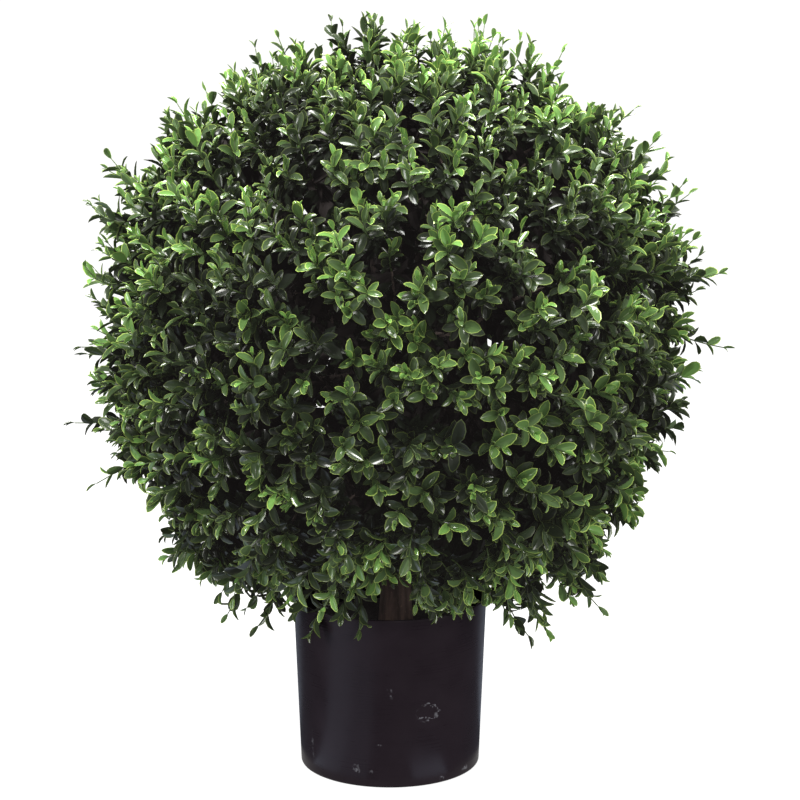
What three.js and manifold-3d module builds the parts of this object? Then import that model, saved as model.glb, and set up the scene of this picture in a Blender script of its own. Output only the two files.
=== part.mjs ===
// A box topiary ball: one clipped ball of small box leaves on a short bare trunk, in a plain round pot.
// Millimetres, +Z up. The origin is the centre of the pot's flat underside, and the front faces -Y.
// The pot, its set fill, the trunk and the leafy crown are separate closed solids, a small gap apart.
import * as THREE from "three";
import { mergeVertices } from "three/addons/utils/BufferGeometryUtils.js";
import Module from "manifold-3d";

const wasm = await Module();
wasm.setup();

const SEAT_GAP = 0.3;
const MERGE_DISTANCE = 1e-4;

// Pot: a thin moulded wall that tapers a little towards its foot
const POT_HEIGHT = 138;
const POT_RIM_RADIUS = 77;
const POT_FOOT_RADIUS = 71.5;
const POT_FOOT_ROUNDING = 4;
const POT_WALL = 2.2;
const POT_FLOOR = 4;
const POT_SIDES = 56;

// Fill: the set body that holds the trunk upright, with its top below the rim
const FILL_BELOW_RIM = 22;
const FILL_CROWNING = 2;

// Trunk: a straight round stem, cut flat where it meets the fill
const TRUNK_FOOT_X = 4.5;
const TRUNK_TOP_X = 5.5;
const TRUNK_FOOT_RADIUS = 13;
const TRUNK_TOP_RADIUS = 9;
const TRUNK_FLARE = 1.2;
const TRUNK_FLARE_HEIGHT = 14;
const TRUNK_TOP_HEIGHT = 300;
const TRUNK_SIDES = 16;
const TRUNK_RINGS = 6;
const TRUNK_RING_CROWDING = 1.6;

// Crown: the outline that the shears leave, from its centre out
const CROWN_CENTRE = new THREE.Vector3(5.5, 0, 351);
const CROWN_GIRTH_RADIUS = 234;
const CROWN_TOP_RADIUS = 229;
const CROWN_UNDERSIDE_RADIUS = 197;
const CROWN_TOP_SQUARENESS = 2.05;
const CROWN_UNDERSIDE_SQUARENESS = 3.2;
const CORE_SHARE = 0.91;
const CORE_ROUGHNESS = 4;
const CORE_DETAIL = 5;

// Bulges and dips of that outline: compass bearing from +X, angle above level, height and width in radians
const CROWN_BULGES = [
  { bearing: 196, above: -52, height: 14, width: 0.32 },
  { bearing: 176, above: 32, height: 9, width: 0.35 },
  { bearing: 2, above: 8, height: 6, width: 0.4 },
  { bearing: 355, above: -26, height: -10, width: 0.26 },
  { bearing: 344, above: -54, height: 12, width: 0.3 },
  { bearing: 8, above: 40, height: 5, width: 0.3 },
  { bearing: 255, above: 10, height: 5, width: 0.4 },
  { bearing: 60, above: -5, height: 7, width: 0.35 },
  { bearing: 110, above: 35, height: -5, width: 0.4 },
  { bearing: 130, above: -20, height: 6, width: 0.35 },
];

// Limbs inside the crown: one stem on the trunk's line, boughs from it, twigs from the boughs' tips
const STEM_TIP_RADIUS = 5;
const BOUGH_COUNT = 24;
const BOUGH_SHARE = 0.5;
const BOUGH_RADIUS = 4;
const TWIG_COUNT = 88;
const TWIG_RADIUS = 2.6;
const TWIG_TIP_RADIUS = 1.5;
const TWIG_SHORTEST_SHARE = 0.94;
const TWIG_LONGEST_SHARE = 0.98;
const TWIG_WANDER = 0.35;
const TWIG_SIDES = 3;

// Leaves: each stands for a spray of small ones, so it is larger than life
const LEAF_LENGTH = 52;
const LEAF_WIDTH = 30;
const LEAF_THICKNESS = 3;
const LEAF_WIDEST_SHARE = 0.6;
const LEAF_FOLD = 3;
const LEAF_LIMIT = 24;
const LEAF_CLEARANCE = 4;
const LEAF_SIZE_VARIATION = 0.2;

// Loose twigs that hang past the clipped outline, beside the pot's rim: where their tips are
const HANGING_TIPS = [
  new THREE.Vector3(100, -30, 138),
  new THREE.Vector3(-100, -34, 152),
  new THREE.Vector3(38, -92, 158),
  new THREE.Vector3(-36, -96, 160),
  new THREE.Vector3(-52, 88, 150),
  new THREE.Vector3(64, 82, 154),
];
const HANGING_LIMIT = 62;

// Where leaves sit on a twig: share of its leafy end, opening angle, turn round the twig, and size
const LEAF_PLACES = [
  { share: 0.35, opening: 78, turn: 0, size: 1 },
  { share: 0.35, opening: 78, turn: 180, size: 1 },
  { share: 0.8, opening: 58, turn: 90, size: 0.9 },
  { share: 0.8, opening: 58, turn: 270, size: 0.9 },
  { share: 0.96, opening: 14, turn: 0, size: 0.7 },
];
const LEAFY_END = 28;
const OPENING_VARIATION = 16;

const UP = new THREE.Vector3(0, 0, 1);
const GOLDEN_ANGLE = Math.PI * (3 - Math.sqrt(5));
const SEED = { twist: 1, bend: 2, sweep: 3, reach: 4, opening: 5, length: 6, core: 7 };

// A seeded number from 0 to 1 for one piece and one purpose, the same on every run
function chance(index, purpose) {
  const wave = Math.sin(index * 12.9898 + purpose * 78.233) * 43758.5453;
  return wave - Math.floor(wave);
}

function radians(degrees) {
  return THREE.MathUtils.degToRad(degrees);
}

function bearingVector(bearing, above) {
  const level = Math.cos(radians(above));
  return new THREE.Vector3(
    level * Math.cos(radians(bearing)),
    level * Math.sin(radians(bearing)),
    Math.sin(radians(above)),
  );
}

// Leaves only shared positions and real triangles, which is what joining and cutting need
function bareGeometry(geometry) {
  const bare = geometry.clone();
  bare.deleteAttribute("normal");
  bare.deleteAttribute("uv");
  const merged = mergeVertices(bare, MERGE_DISTANCE);
  const corners = merged.index.array;
  const kept = [];
  for (let i = 0; i < corners.length; i += 3) {
    const [a, b, c] = [corners[i], corners[i + 1], corners[i + 2]];
    if (a !== b && b !== c && c !== a) kept.push(a, b, c);
  }
  merged.setIndex(kept);
  return merged;
}

function solidFrom(geometry) {
  const bare = bareGeometry(geometry);
  return new wasm.Manifold(
    new wasm.Mesh({
      numProp: 3,
      vertProperties: new Float32Array(bare.attributes.position.array),
      triVerts: new Uint32Array(bare.index.array),
    }),
  );
}

function geometryFrom(solid) {
  const mesh = solid.getMesh();
  const geometry = new THREE.BufferGeometry();
  geometry.setAttribute("position", new THREE.BufferAttribute(mesh.vertProperties, 3));
  geometry.setIndex(new THREE.BufferAttribute(mesh.triVerts, 1));
  geometry.computeVertexNormals();
  return geometry;
}

// The largest body of a fused solid, so that loose scraps and sealed hollows inside it go
function mainBody(solid) {
  const bodies = solid.decompose();
  return bodies.reduce((best, body) => (body.volume() > best.volume() ? body : best));
}

// A turned shape from radius and height pairs that start and end on the axis, stood up along +Z
function turned(outline, sides) {
  const points = outline.map(([radius, height]) => new THREE.Vector2(radius, height));
  const geometry = new THREE.LatheGeometry(points, sides);
  geometry.rotateX(Math.PI / 2);
  return bareGeometry(geometry);
}

function potRadiusAt(height) {
  return THREE.MathUtils.lerp(POT_FOOT_RADIUS, POT_RIM_RADIUS, height / POT_HEIGHT);
}

function potGeometry() {
  const outline = [[0, 0]];
  for (const angle of [0, 30, 60, 90]) {
    const inward = POT_FOOT_ROUNDING * (1 - Math.sin(radians(angle)));
    const lift = POT_FOOT_ROUNDING * (1 - Math.cos(radians(angle)));
    outline.push([potRadiusAt(lift) - inward, lift]);
  }
  outline.push([POT_RIM_RADIUS, POT_HEIGHT]);
  outline.push([POT_RIM_RADIUS - POT_WALL, POT_HEIGHT]);
  outline.push([potRadiusAt(POT_FLOOR) - POT_WALL, POT_FLOOR]);
  outline.push([0, POT_FLOOR]);
  return turned(outline, POT_SIDES);
}

const FILL_FOOT = POT_FLOOR + SEAT_GAP;
const FILL_TOP = POT_HEIGHT - FILL_BELOW_RIM;

function fillGeometry() {
  const clearance = POT_WALL + SEAT_GAP;
  return turned(
    [
      [0, FILL_FOOT],
      [potRadiusAt(FILL_FOOT) - clearance, FILL_FOOT],
      [potRadiusAt(FILL_TOP - FILL_CROWNING) - clearance, FILL_TOP - FILL_CROWNING],
      [potRadiusAt(FILL_TOP) - clearance - TRUNK_FOOT_RADIUS, FILL_TOP],
      [0, FILL_TOP],
    ],
    POT_SIDES,
  );
}

const TRUNK_FOOT_HEIGHT = FILL_TOP + SEAT_GAP;

function trunkCentreAt(height) {
  const share = (height - TRUNK_FOOT_HEIGHT) / (TRUNK_TOP_HEIGHT - TRUNK_FOOT_HEIGHT);
  return THREE.MathUtils.lerp(TRUNK_FOOT_X, TRUNK_TOP_X, share);
}

function trunkRadiusAt(height) {
  const share = (height - TRUNK_FOOT_HEIGHT) / (TRUNK_TOP_HEIGHT - TRUNK_FOOT_HEIGHT);
  const flare = TRUNK_FLARE * Math.exp((TRUNK_FOOT_HEIGHT - height) / TRUNK_FLARE_HEIGHT);
  return THREE.MathUtils.lerp(TRUNK_FOOT_RADIUS, TRUNK_TOP_RADIUS, share) + flare;
}

// The trunk, or with a clearance the bore that the crown's core leaves for it
function trunkGeometry(clearance) {
  const length = TRUNK_TOP_HEIGHT - TRUNK_FOOT_HEIGHT;
  const outline = [[0, TRUNK_FOOT_HEIGHT - clearance]];
  for (let ring = 0; ring <= TRUNK_RINGS; ring += 1) {
    const height = TRUNK_FOOT_HEIGHT + length * (ring / TRUNK_RINGS) ** TRUNK_RING_CROWDING;
    const end = ring === 0 ? -clearance : ring === TRUNK_RINGS ? clearance : 0;
    outline.push([trunkRadiusAt(height) + clearance, height + end]);
  }
  outline.push([0, TRUNK_TOP_HEIGHT + clearance]);
  const geometry = turned(outline, TRUNK_SIDES);
  const position = geometry.attributes.position;
  for (let i = 0; i < position.count; i += 1) {
    position.setX(i, position.getX(i) + trunkCentreAt(position.getZ(i)));
  }
  return geometry;
}

// How far the clipped outline lies from the crown's centre: a squared-off oval with soft bulges
function crownReach(direction) {
  const level = Math.hypot(direction.x, direction.y);
  const top = direction.z > 0;
  const rise = Math.abs(direction.z) / (top ? CROWN_TOP_RADIUS : CROWN_UNDERSIDE_RADIUS);
  const squareness = top ? CROWN_TOP_SQUARENESS : CROWN_UNDERSIDE_SQUARENESS;
  const oval = ((level / CROWN_GIRTH_RADIUS) ** squareness + rise ** squareness) ** (-1 / squareness);
  return CROWN_BULGES.reduce((reach, bulge) => {
    const away = direction.angleTo(bearingVector(bulge.bearing, bulge.above));
    return reach + bulge.height * Math.exp(-((away / bulge.width) ** 2));
  }, oval);
}

// Direction number index of count spread evenly over a ball, round a spiral from its top
function spiralDirection(index, count) {
  const z = 1 - (2 * (index + 0.5)) / count;
  const level = Math.sqrt(1 - z * z);
  const bearing = index * GOLDEN_ANGLE;
  return new THREE.Vector3(level * Math.cos(bearing), level * Math.sin(bearing), z);
}

// A tapering limb from one point to another, with three or more flat sides
function limbGeometry(start, end, startRadius, endRadius, sides) {
  const along = end.clone().sub(start);
  const geometry = new THREE.CylinderGeometry(endRadius, startRadius, along.length(), sides, 1);
  const turn = new THREE.Quaternion().setFromUnitVectors(
    new THREE.Vector3(0, 1, 0),
    along.clone().normalize(),
  );
  geometry.applyQuaternion(turn);
  geometry.translate(...start.clone().lerp(end, 0.5));
  return geometry;
}

// The corners of a leaf: root, tip, two raised shoulders, and the upper and lower skin between them
function leafCorners({ root, growth, side, length }) {
  const face = new THREE.Vector3().crossVectors(growth, side).normalize();
  const scale = length / LEAF_LENGTH;
  const at = (along, across, over) =>
    root
      .clone()
      .addScaledVector(growth, along * length)
      .addScaledVector(side, across * scale)
      .addScaledVector(face, over * scale);
  return [
    at(0, 0, 0),
    at(1, 0, 0),
    at(LEAF_WIDEST_SHARE, LEAF_WIDTH / 2, LEAF_FOLD),
    at(LEAF_WIDEST_SHARE, -LEAF_WIDTH / 2, LEAF_FOLD),
    at(LEAF_WIDEST_SHARE, 0, LEAF_THICKNESS / 2),
    at(LEAF_WIDEST_SHARE, 0, -LEAF_THICKNESS / 2),
  ];
}

// A leaf of eight faces on those corners, folded a little along its middle
function leafGeometry(leaf) {
  const geometry = new THREE.BufferGeometry();
  const places = leafCorners(leaf).flatMap((corner) => corner.toArray());
  geometry.setAttribute("position", new THREE.Float32BufferAttribute(places, 3));
  geometry.setIndex([0, 3, 4, 3, 1, 4, 1, 2, 4, 2, 0, 4, 0, 5, 3, 3, 5, 1, 1, 5, 2, 2, 5, 0]);
  return geometry;
}

// The boughs: each leaves the stem part way up and ends at a share of the way to the outline
function growBoughs() {
  const boughs = [];
  for (let i = 0; i < BOUGH_COUNT; i += 1) {
    const direction = spiralDirection(i, BOUGH_COUNT);
    const stemShare = (direction.z + 1) / 2;
    const rootHeight = THREE.MathUtils.lerp(TRUNK_TOP_HEIGHT + SEAT_GAP, CROWN_CENTRE.z, stemShare);
    const root = new THREE.Vector3(CROWN_CENTRE.x, CROWN_CENTRE.y, rootHeight);
    const tip = CROWN_CENTRE.clone().addScaledVector(direction, crownReach(direction) * BOUGH_SHARE);
    boughs.push({ root, tip });
  }
  return boughs;
}

// A twig from the nearest bough's tip to its own tip, with its leafy end swayed off that line
function growTwig(index, tip, limit, boughs) {
  const distances = boughs.map((bough) => bough.tip.distanceTo(tip));
  const root = boughs[distances.indexOf(Math.min(...distances))].tip;
  const sway = bearingVector(360 * chance(index, SEED.sweep), 180 * chance(index, SEED.bend) - 90);
  const outward = tip.clone().sub(CROWN_CENTRE).normalize();
  const heading = outward.addScaledVector(sway, TWIG_WANDER).normalize();
  return { index, root, tip, heading, limit };
}

// The twigs: tips spread evenly just short of the outline, and then the few that hang past it
function growTwigs(boughs) {
  const twigs = [];
  for (let i = 0; i < TWIG_COUNT; i += 1) {
    const direction = spiralDirection(i, TWIG_COUNT);
    const share = THREE.MathUtils.lerp(TWIG_SHORTEST_SHARE, TWIG_LONGEST_SHARE, chance(i, SEED.reach));
    const tip = CROWN_CENTRE.clone().addScaledVector(direction, crownReach(direction) * share);
    twigs.push(growTwig(i, tip, LEAF_LIMIT, boughs));
  }
  HANGING_TIPS.forEach((tip, order) => {
    twigs.push(growTwig(TWIG_COUNT + order, tip, HANGING_LIMIT, boughs));
  });
  return twigs.filter((twig) => inCrownSpace(twig.tip, twig.limit));
}

// The leaves of one twig: two crossed pairs and one at the tip, each turned to lie open to the light
function growLeaves(twig) {
  const across = new THREE.Vector3().crossVectors(twig.heading, UP).normalize();
  const twist = 2 * Math.PI * chance(twig.index, SEED.twist);
  return LEAF_PLACES.map((place, order) => {
    const key = twig.index * LEAF_PLACES.length + order;
    const opening = radians(place.opening + OPENING_VARIATION * (chance(key, SEED.opening) - 0.5));
    const radial = across.clone().applyAxisAngle(twig.heading, twist + radians(place.turn));
    const growth = twig.heading
      .clone()
      .multiplyScalar(Math.cos(opening))
      .addScaledVector(radial, Math.sin(opening))
      .normalize();
    const side = new THREE.Vector3().crossVectors(twig.heading, radial).normalize();
    const root = twig.tip.clone().addScaledVector(twig.heading, LEAFY_END * (place.share - 1));
    const size = place.size * (1 + LEAF_SIZE_VARIATION * (chance(key, SEED.length) - 0.5));
    return { root, growth, side, length: LEAF_LENGTH * size };
  });
}

// Whether a point is inside the crown's own space: within its reach, above the pot and off the trunk
function inCrownSpace(point, limit) {
  const outward = point.clone().sub(CROWN_CENTRE);
  const distance = outward.length();
  const withinReach = distance < crownReach(outward.normalize()) + limit;
  const overPot = Math.hypot(point.x, point.y) < POT_RIM_RADIUS + LEAF_CLEARANCE;
  const clearOfPot = !overPot || point.z > POT_HEIGHT + LEAF_CLEARANCE;
  const offTrunk = Math.hypot(point.x - trunkCentreAt(point.z), point.y);
  const clearOfTrunk = point.z > TRUNK_TOP_HEIGHT || offTrunk > TRUNK_FOOT_RADIUS + LEAF_CLEARANCE;
  return withinReach && clearOfPot && clearOfTrunk;
}

function leafFits(leaf, limit) {
  const nearRoot = leaf.root.clone().addScaledVector(leaf.growth, (leaf.length * LEAF_WIDEST_SHARE) / 2);
  return [nearRoot, ...leafCorners(leaf)].every((point) => inCrownSpace(point, limit));
}

// The dense middle that the leaves stand out of: the crown's outline drawn in, and left uneven
function coreGeometry() {
  const geometry = bareGeometry(new THREE.IcosahedronGeometry(1, CORE_DETAIL));
  const position = geometry.attributes.position;
  const direction = new THREE.Vector3();
  for (let i = 0; i < position.count; i += 1) {
    direction.fromBufferAttribute(position, i).normalize();
    const unevenness = CORE_ROUGHNESS * (2 * chance(i, SEED.core) - 1);
    const reach = crownReach(direction) * CORE_SHARE + unevenness;
    position.setXYZ(i, ...CROWN_CENTRE.clone().addScaledVector(direction, reach));
  }
  return geometry;
}

// The crown: stem, boughs, twigs, leaves and core fused into one solid, bored clear of the trunk
function crownGeometry() {
  const stemFoot = new THREE.Vector3(CROWN_CENTRE.x, 0, TRUNK_TOP_HEIGHT + SEAT_GAP);
  const boughs = growBoughs();
  const twigs = growTwigs(boughs);
  const pieces = [
    coreGeometry(),
    limbGeometry(stemFoot, CROWN_CENTRE, TRUNK_TOP_RADIUS, STEM_TIP_RADIUS, TRUNK_SIDES),
  ];
  for (const bough of boughs) {
    pieces.push(limbGeometry(bough.root, bough.tip, BOUGH_RADIUS, TWIG_RADIUS, TWIG_SIDES));
  }
  for (const twig of twigs) {
    const bend = twig.tip.clone().addScaledVector(twig.heading, -LEAFY_END);
    pieces.push(limbGeometry(twig.root, bend, TWIG_RADIUS, TWIG_RADIUS, TWIG_SIDES));
    pieces.push(limbGeometry(bend, twig.tip, TWIG_RADIUS, TWIG_TIP_RADIUS, TWIG_SIDES));
    for (const leaf of growLeaves(twig)) {
      if (leafFits(leaf, twig.limit)) pieces.push(leafGeometry(leaf));
    }
  }
  const fused = wasm.Manifold.union(pieces.map(solidFrom));
  return geometryFrom(mainBody(fused.subtract(solidFrom(trunkGeometry(SEAT_GAP)))));
}

const finishes = {
  pot: new THREE.MeshStandardMaterial({ color: 0x2a272b, roughness: 0.35, metalness: 0 }),
  fill: new THREE.MeshStandardMaterial({ color: 0x171413, roughness: 0.95, metalness: 0 }),
  bark: new THREE.MeshStandardMaterial({ color: 0x4a2c20, roughness: 0.85, metalness: 0 }),
  leaves: new THREE.MeshStandardMaterial({ color: 0x3f6a2c, roughness: 0.4, metalness: 0 }),
};

function piece(name, geometry, material) {
  const mesh = new THREE.Mesh(geometry, material);
  mesh.name = name;
  return mesh;
}

const topiaryBall = new THREE.Group();
topiaryBall.add(
  piece("pot", potGeometry(), finishes.pot),
  piece("pot_fill", fillGeometry(), finishes.fill),
  piece("trunk", trunkGeometry(0), finishes.bark),
  piece("crown", crownGeometry(), finishes.leaves),
);

export default topiaryBall;
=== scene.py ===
"""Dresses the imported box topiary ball: a smooth pot, its fill, a barked trunk and a crown of small leaves.

Metres, +Z up, in the frame's own space. The front faces -Y. The crown grows by the same seeded rule as the
solid that it replaces, carried on from its twigs to side twigs, sprigs and single leaves.
"""

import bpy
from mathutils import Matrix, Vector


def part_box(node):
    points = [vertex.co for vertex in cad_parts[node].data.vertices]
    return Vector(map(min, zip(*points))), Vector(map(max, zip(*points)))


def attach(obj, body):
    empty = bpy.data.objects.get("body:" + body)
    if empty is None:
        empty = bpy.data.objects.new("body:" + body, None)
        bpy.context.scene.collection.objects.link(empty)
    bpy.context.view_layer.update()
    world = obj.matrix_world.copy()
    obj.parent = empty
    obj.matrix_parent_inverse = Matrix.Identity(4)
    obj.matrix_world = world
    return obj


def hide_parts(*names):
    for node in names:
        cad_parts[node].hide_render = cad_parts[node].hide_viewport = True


bl_info = {
    "name": "Box Topiary Ball",
    "version": (1, 0, 0),
    "blender": (4, 5, 0),
    "location": "3D View > Sidebar > Topiary",
    "description": "Builds a clipped box ball on a short trunk in a plain pot",
    "category": "Object",
}

import math

import bpy
import numpy as np
from bpy.props import FloatProperty, FloatVectorProperty, IntProperty, PointerProperty

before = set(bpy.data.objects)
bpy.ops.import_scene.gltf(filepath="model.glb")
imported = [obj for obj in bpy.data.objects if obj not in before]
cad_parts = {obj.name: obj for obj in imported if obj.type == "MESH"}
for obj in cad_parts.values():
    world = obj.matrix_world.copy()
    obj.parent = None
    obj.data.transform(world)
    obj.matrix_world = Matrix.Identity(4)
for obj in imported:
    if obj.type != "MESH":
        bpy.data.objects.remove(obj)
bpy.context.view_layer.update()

MM = 0.001
GOLDEN_ANGLE = math.pi * (3 - math.sqrt(5))

# How far the camera looks down
VIEW_PITCH = math.radians(11.7)

# Corners of the solids' boxes in the frame
POT_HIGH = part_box("pot")[1]
FILL_LOW, FILL_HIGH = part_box("pot_fill")
TRUNK_LOW, TRUNK_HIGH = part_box("trunk")

# The pot's radius at its foot, as a share of that at its rim
POT_TAPER = 71.5 / 77

# The trunk in mm: its radius at foot and top, how far right of the pot's axis its middle is there, and how
# far the foot flares and how soon that fades
TRUNK_RADII = (13, 9)
TRUNK_MIDDLES = (4.5, 5.5)
TRUNK_FLARE = 1.2
TRUNK_FLARE_FADE = 14

# The crown's outline, as in the part's source
CROWN_CENTRE = np.array([5.5, 0.0, 351.0]) * MM
CROWN_GIRTH_RADIUS = 234 * MM
CROWN_TOP_RADIUS = 229 * MM
CROWN_UNDERSIDE_RADIUS = 197 * MM
CROWN_TOP_SQUARENESS = 2.05
CROWN_UNDERSIDE_SQUARENESS = 3.2

# Bulges and dips of that outline: bearing and angle above level in degrees, height in mm, width in radians
CROWN_BULGES = [
    (196, -52, 14, 0.32), (176, 32, 9, 0.35), (2, 8, 6, 0.4), (355, -26, -10, 0.26), (344, -54, 12, 0.3),
    (8, 40, 5, 0.3), (255, 10, 5, 0.4), (60, -5, 7, 0.35), (110, 35, -5, 0.4), (130, -20, 6, 0.35),
]

# Loose twigs that hang past the clipped outline, beside the pot's rim: where their tips are, in mm
HANGING_TIPS = [
    (100, -30, 138), (-100, -34, 152), (38, -92, 158), (-36, -96, 160), (-52, 88, 150), (64, 82, 154),
]

# Small swells and dips of the sprigs' outline as the camera sees it: angles above level in degrees, and
# heights in mm at the ball's right and left side. They fade away from the outline, to the front and back.
SIDE_ANGLES = [-68, -52, -37, -22, -7, 8, 23, 38, 53, 68, 83]
RIGHT_SWELLS = [1, 13, -26, -24, -22, -13, -5, 9, -23, 33, -3]
LEFT_SWELLS = [-10, 0, -38, -16, 2, -5, 10, -6, 7, -5, 0]
SWELL_WIDTH = 0.45

# Single sprigs that stand out of that outline: angle round it from the right in degrees, how far out in mm
STRAY_SPRIGS = [
    (196, 21), (207, 14), (183, 12), (151, 14), (-3, 18), (10, 15), (25, 12), (43, 14),
    (74, 18), (81, 9), (88, 6), (93, 9), (96, 14), (102, 17), (112, 16),
]

# Tips of the loose sprigs on those hanging twigs, in mm: beside the pot on both sides, before and behind it
HANGING_SPRIGS = [
    (109, -30, 112), (121, -26, 119), (99, -36, 121), (92, -18, 136), (110, -44, 136), (-104, -32, 120),
    (-113, -24, 133), (-94, -40, 138), (-60, -62, 126), (-72, -56, 140), (-23, -88, 134), (-36, -92, 148),
    (38, -92, 152), (52, -84, 150), (-52, 88, 136), (-66, 80, 144), (64, 82, 140), (52, 92, 150),
]

# How the limbs divide, from the stem on the trunk to the side twigs, and how far out their tips are, as
# shares of the outline's reach
BOUGH_COUNT = 24
BOUGH_SHARE = 0.5
TWIG_COUNT = 88
TWIG_SHARE = 0.7
SIDE_TWIG_COUNT = 300
SIDE_TWIG_SHARES = (0.75, 0.84)
SIDE_TWIG_JITTER = 0.07
LIMB_PULL = 0.45
LIMB_STEPS = 9

# Each kind of limb: its radius at root and tip in mm, its sides, and then its old leaves: how many to a limb,
# the first of their seeded numbers, and their tone, one of the inner tones of painted shade
LIMBS = {
    "boughs": (4.0, 2.4, 8, 80, 40000, 10),
    "twigs": (2.2, 1.5, 6, 50, 50000, 11),
    "side_twigs": (1.4, 0.9, 6, 32, 70000, 12),
}

# How the sprigs stand: where their tips are as shares of the outline's reach, how far they are jittered and
# drawn to the nearest limbs, how far out the ones go that stray, and how much they sway at random
SPRIG_SHARES = (0.868, 1.036)
SPRIG_JITTER = 0.05
DRAW_TO_TWIG = 0.09
DRAW_TO_SIDE_TWIG = 0.16
BUNCH_SHARE = 0.05
STRAY_CHANCE_ABOVE = 0.87
STRAY_SHARE = 0.055
SPRIG_SWAY = 0.5
STRAY_SWAY = 0.3

# How a sprig's stem bends, the steps along it, and its radius at root and tip in mm
SPRIG_PULL = 0.5
SPRIG_STEPS = 6
SPRIG_RADII = (0.8, 0.4)

# How much sprigs lean up, by the height of their direction from the crown's centre
LEAN_HEIGHTS = [-1, -0.6, -0.2, 0.2, 0.6, 1]
LEANS = [-0.35, -0.2, 0.2, 0.5, 1.2, 1.3]

# The gap under the leaves before the trunk's foot, which shows it: its middle and half width, its height at
# the pot's middle, and how that rises to the front
GAP_MIDDLE = 7 * MM
GAP_HALF_WIDTH = 8 * MM
GAP_HEIGHT = 141 * MM
GAP_RISE = 0.28

# Leaves: the pairs next to a sprig's tip that are made in full, and a direction that stems don't follow
FULL_PAIRS = 5
ASKEW = [0.31, 0.52, 0.8]

# The warm colour of a faint painted glow on leaves, twigs, trunk and fill: no lamp, it stands in for light
# that soaks through thin leaves and lifts the shade inside the ball
PAINTED_GLOW_COLOUR = (1.0, 0.88, 0.86)

# Leaf finishes: seven tones from young to old, which also paint light and shade by where a leaf sits, three
# rims, three inner tones of painted shade, and the finish of each's rim
LEAF_TONES = ("bud", "bright", "fresh", "green", "mature", "deep", "inner")
RIM_TONES = (("pale", 1.0), ("green", 0.4), ("dark", 0.12))
# Inner tones of painted shade: the deepest limbs get the lightest, a painted lift of the darkest hollows
INNER_SHADE_TONES = (("deepest", 1.0), ("deeper", 0.9), ("shaded", 0.8))
RIM_OF_TONE = np.array([7, 7, 8, 8, 9, 9, 9, 7, 8, 9, 10, 11, 12])

# Rubbed marks on the pot: centre and size in mm, and a number that varies the noise. The first is a ring.
RUBBED_RING = ((28.5, -68, 61.5), (8.6, 8.6, 6.2), 1.5)
RUBBED_SPOTS = [
    ((36.5, -64.5, 58.5), (2.2, 2.2, 3.4), 7),
    ((25, -69.5, 57), (6, 6, 1.1), 8),
    ((18.5, -74, 130), (1.3, 1.3, 1.3), 9),
    ((-8, -72.5, 35.8), (2.4, 2.4, 1), 10),
    ((40.5, -58.8, 4.5), (2.8, 2.8, 2), 11),
    ((0.5, -73, 79), (3, 3, 6), 2),
    ((-26, -66, 14.5), (4.2, 4.2, 4.2), 3),
    ((-14.5, -69.5, 13.5), (2.6, 2.6, 2.2), 4),
    ((59, -39.5, 6), (6, 6, 2.6), 5),
    ((-60, -38.5, 26), (2.2, 2.2, 14), 6),
]

# Light panels: name, place, size, watts and colour, all aimed at one point
PANEL_AIM = (0, 0, 0.33)
PANELS = [
    ("key panel", (-0.45, -0.9, 1.75), (0.36, 0.36), 39, (1.0, 0.99, 0.96)),
    ("top panel", (-0.05, 0.05, 1.4), (0.45, 0.45), 29, (1.0, 1.0, 0.98)),
    ("front panel", (0.7, -2.6, 1.0), (0.5, 0.4), 23, (1.0, 0.99, 0.97)),
    ("right panel", (1.5, -0.95, 0.5), (0.4, 0.6), 14, (1.0, 1.0, 0.98)),
    ("left panel", (-1.5, -0.55, 0.5), (0.4, 0.6), 12, (1.0, 1.0, 0.98)),
    ("back panel", (-0.5, 1.3, 1.8), (0.6, 0.6), 18, (1.0, 1.0, 0.98)),
]

# Cards on the floor that the pot reflects: name, first and last bearing, share of the cards' glow, and how
# far from the pot's axis they reach
CARD_START = 0.085
CARD_END = 0.9
CARDS = [
    ("left", 199, 228, 1, CARD_END),
    ("front", 228, 252, 0.6, CARD_END),
    ("foot", 288, 317, 1.6, 0.118),
    ("rear_right", 36, 62, 0.25, CARD_END),
    ("rear_left", 118, 144, 0.2, CARD_END),
]

SEED = {
    "twist": 1, "bend": 2, "sweep": 3, "reach": 4, "opening": 5, "length": 6, "tone": 8, "roll": 9,
    "fold": 10, "curl": 11, "jitter": 12, "turn": 13, "stray": 14, "width": 15, "limp": 16,
}


def chance(index, purpose):
    """A seeded number from 0 to 1 for each index: the fraction left over by a large sine."""
    wave = np.sin(np.asarray(index, float) * 12.9898 + SEED[purpose] * 78.233) * 43758.5453
    return wave - np.floor(wave)


def spread(index, purpose, low, high):
    """A seeded number from low to high for each index."""
    return low + (high - low) * chance(index, purpose)


def unit(vectors):
    """Each vector divided by its own length."""
    return vectors / np.maximum(np.linalg.norm(vectors, axis=-1, keepdims=True), 1e-12)


def bearing_vector(bearing, above):
    """The direction at a compass bearing from +X and an angle above level, both in degrees."""
    bearing, above = np.radians(bearing), np.radians(above)
    level = np.cos(above)
    return np.stack([level * np.cos(bearing), level * np.sin(bearing), np.sin(above)], axis=-1)


def random_ways(number, first, second):
    """A seeded direction for each number: its height is even from -1 to 1 and its bearing all round."""
    above = np.degrees(np.arcsin(2 * chance(number, second) - 1))
    return bearing_vector(360 * chance(number, first), above)


def spiral_directions(count):
    """Directions spread evenly over a ball: equal steps down its height, a golden angle apart round it."""
    index = np.arange(count)
    z = 1 - 2 * (index + 0.5) / count
    level = np.sqrt(1 - z * z)
    bearing = index * GOLDEN_ANGLE
    return np.stack([level * np.cos(bearing), level * np.sin(bearing), z], axis=1)


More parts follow.
